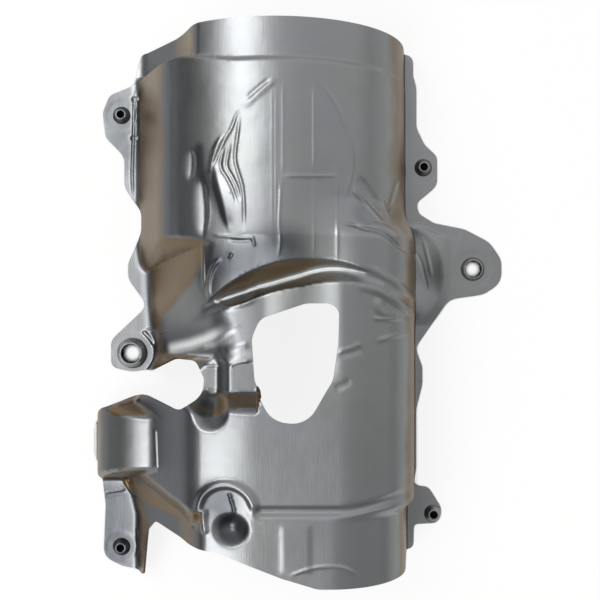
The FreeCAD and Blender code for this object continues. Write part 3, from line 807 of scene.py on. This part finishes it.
# Painted reflection: brown on the steep walls, duller metal there.
colour = add_node(tree, "ShaderNodeMix", {"data_type": "RGBA", 7: linear("#67563f")},
                  {0: brown.outputs[0], 6: darker.outputs[2]})
rough = add_node(tree, "ShaderNodeMapRange", {"To Min": 0.3, "To Max": 0.4},
                 {"Value": cloud.outputs[0]})
waves = add_node(tree, "ShaderNodeTexNoise", {"Scale": 70.0, "Detail": 2.0},
                 {"Vector": place.outputs["Object"]})
uneven = add_node(tree, "ShaderNodeBump", {"Strength": 0.35, "Distance": 0.0007},
                  {"Height": waves.outputs[0]})
grain = add_node(tree, "ShaderNodeBump", {"Strength": 0.4, "Distance": 0.00008},
                 {"Height": line_noise.outputs[0], "Normal": uneven.outputs[0]})
metal = add_node(tree, "ShaderNodeMapRange", {"To Min": 1.0, "To Max": 0.7},
                 {"Value": brown.outputs[0]})
shader = add_node(tree, "ShaderNodeBsdfPrincipled", {},
                  {"Base Color": colour.outputs[2], "Metallic": metal.outputs[0],
                   "Roughness": rough.outputs[0], "Normal": grain.outputs[0]})
add_node(tree, "ShaderNodeOutputMaterial", {}, {"Surface": shader.outputs[0]})
mesh.materials.append(steel)

# The pale matt floor that the shield lies on. It shows near white, keeps the shield's shadow,
# and turns dark where it is closed in within a few millimetres, as inside the small bores.
FLOOR_HALF = 0.7
CLOSED_IN = 0.005
floor_mesh = bpy.data.meshes.new("floor")
corners = np.array([(-1, -1, 0), (1, -1, 0), (1, 1, 0), (-1, 1, 0)]) * FLOOR_HALF
floor_mesh.from_pydata(corners.tolist(), [], [(0, 1, 2, 3)])
floor = bpy.data.objects.new("floor", floor_mesh)
bpy.context.scene.collection.objects.link(floor)
paint = bpy.data.materials.new("pale_floor")
paint.use_nodes = True
tree = paint.node_tree
tree.nodes.clear()
open_air = add_node(tree, "ShaderNodeAmbientOcclusion", {"Distance": CLOSED_IN, "samples": 8})
clear = add_node(tree, "ShaderNodeMapRange",
                 {"From Min": 0.5, "From Max": 0.75, "To Min": 0.0, "To Max": 1.0},
                 {"Value": open_air.outputs["AO"]})
shade = add_node(tree, "ShaderNodeMix",
                 {"data_type": "RGBA", 6: linear("#202020"), 7: linear("#f0f0ee")},
                 {0: clear.outputs[0]})
matt = add_node(tree, "ShaderNodeBsdfDiffuse", {}, {"Color": shade.outputs[2]})
glow = add_node(tree, "ShaderNodeEmission", {"Color": linear("#ffffff"), "Strength": 1.0})
floor_ray = add_node(tree, "ShaderNodeLightPath")
seen = add_node(tree, "ShaderNodeMath", {"operation": "MULTIPLY", 1: 0.85},
                {0: floor_ray.outputs["Is Camera Ray"]})
glow_share = add_node(tree, "ShaderNodeMath", {"operation": "MULTIPLY"},
                      {0: seen.outputs[0], 1: clear.outputs[0]})
floor_mix = add_node(tree, "ShaderNodeMixShader", {},
                     {0: glow_share.outputs[0], 1: matt.outputs[0], 2: glow.outputs[0]})
add_node(tree, "ShaderNodeOutputMaterial", {}, {0: floor_mix.outputs[0]})
floor_mesh.materials.append(paint)

# Two soft lamps in line, left of the middle: a long one over the lower half and a short one
# over the upper, which the crowns show as bright bands with a darker waist between them. Each
# has its middle along Y, its length and its power. The grey room is darker on the left.
LAMPS = [(-1.08, 1.7, 26.0), (0.7, 0.8, 14.0)]
LAMP_WIDE = 1.05
LAMP_X = -0.97
LAMP_HIGH = 1.75
LAMP_LEAN = -29.0
for middle, length, power in LAMPS:
    lamp = bpy.data.lights.new("strip", "AREA")
    lamp.shape = "RECTANGLE"
    lamp.size = LAMP_WIDE
    lamp.size_y = length
    lamp.energy = power
    lamp_object = bpy.data.objects.new("strip", lamp)
    lamp_object.location = (LAMP_X, middle, LAMP_HIGH)
    lamp_object.rotation_euler = (0.0, np.radians(LAMP_LEAN), 0.0)
    bpy.context.scene.collection.objects.link(lamp_object)

world = bpy.data.worlds.new("grey_room")
world.use_nodes = True
room = world.node_tree
room.nodes.clear()
toward = add_node(room, "ShaderNodeTexCoord")
split = add_node(room, "ShaderNodeSeparateXYZ", {}, {0: toward.outputs["Generated"]})
from_left = add_node(room, "ShaderNodeMapRange",
                     {"From Min": -0.92, "From Max": -0.7, "To Min": 0.06, "To Max": 0.62},
                     {"Value": split.outputs[0]})
from_below = add_node(room, "ShaderNodeMapRange",
                      {"From Min": -0.3, "From Max": 0.3, "To Min": 0.64, "To Max": 1.4},
                      {"Value": split.outputs[1]})
strength = add_node(room, "ShaderNodeMath", {"operation": "MULTIPLY"},
                    {0: from_left.outputs[0], 1: from_below.outputs[0]})
grey = add_node(room, "ShaderNodeBackground", {"Color": linear("#ffffff")},
                {"Strength": strength.outputs[0]})
white = add_node(room, "ShaderNodeBackground", {"Color": linear("#ffffff"), "Strength": 1.0})
room_ray = add_node(room, "ShaderNodeLightPath")
room_mix = add_node(room, "ShaderNodeMixShader", {},
                    {0: room_ray.outputs["Is Camera Ray"], 1: grey.outputs[0], 2: white.outputs[0]})
add_node(room, "ShaderNodeOutputWorld", {}, {0: room_mix.outputs[0]})
bpy.context.scene.world = world

# The camera, straight above the middle of the drawn sheet, with the photograph's angle of view.
SENSOR = 36.0
camera_data = bpy.data.cameras.new("camera")
camera_data.sensor_width = SENSOR
camera_data.lens = SENSOR * PHOTO_LENS / (2.0 * PHOTO_MIDDLE)
camera = bpy.data.objects.new("camera", camera_data)
camera.location = (shift[0] * MM, shift[1] * MM, CAMERA_HIGH * MM)
bpy.context.scene.collection.objects.link(camera)
bpy.context.scene.camera = camera
bpy.context.scene.view_settings.view_transform = "Standard"
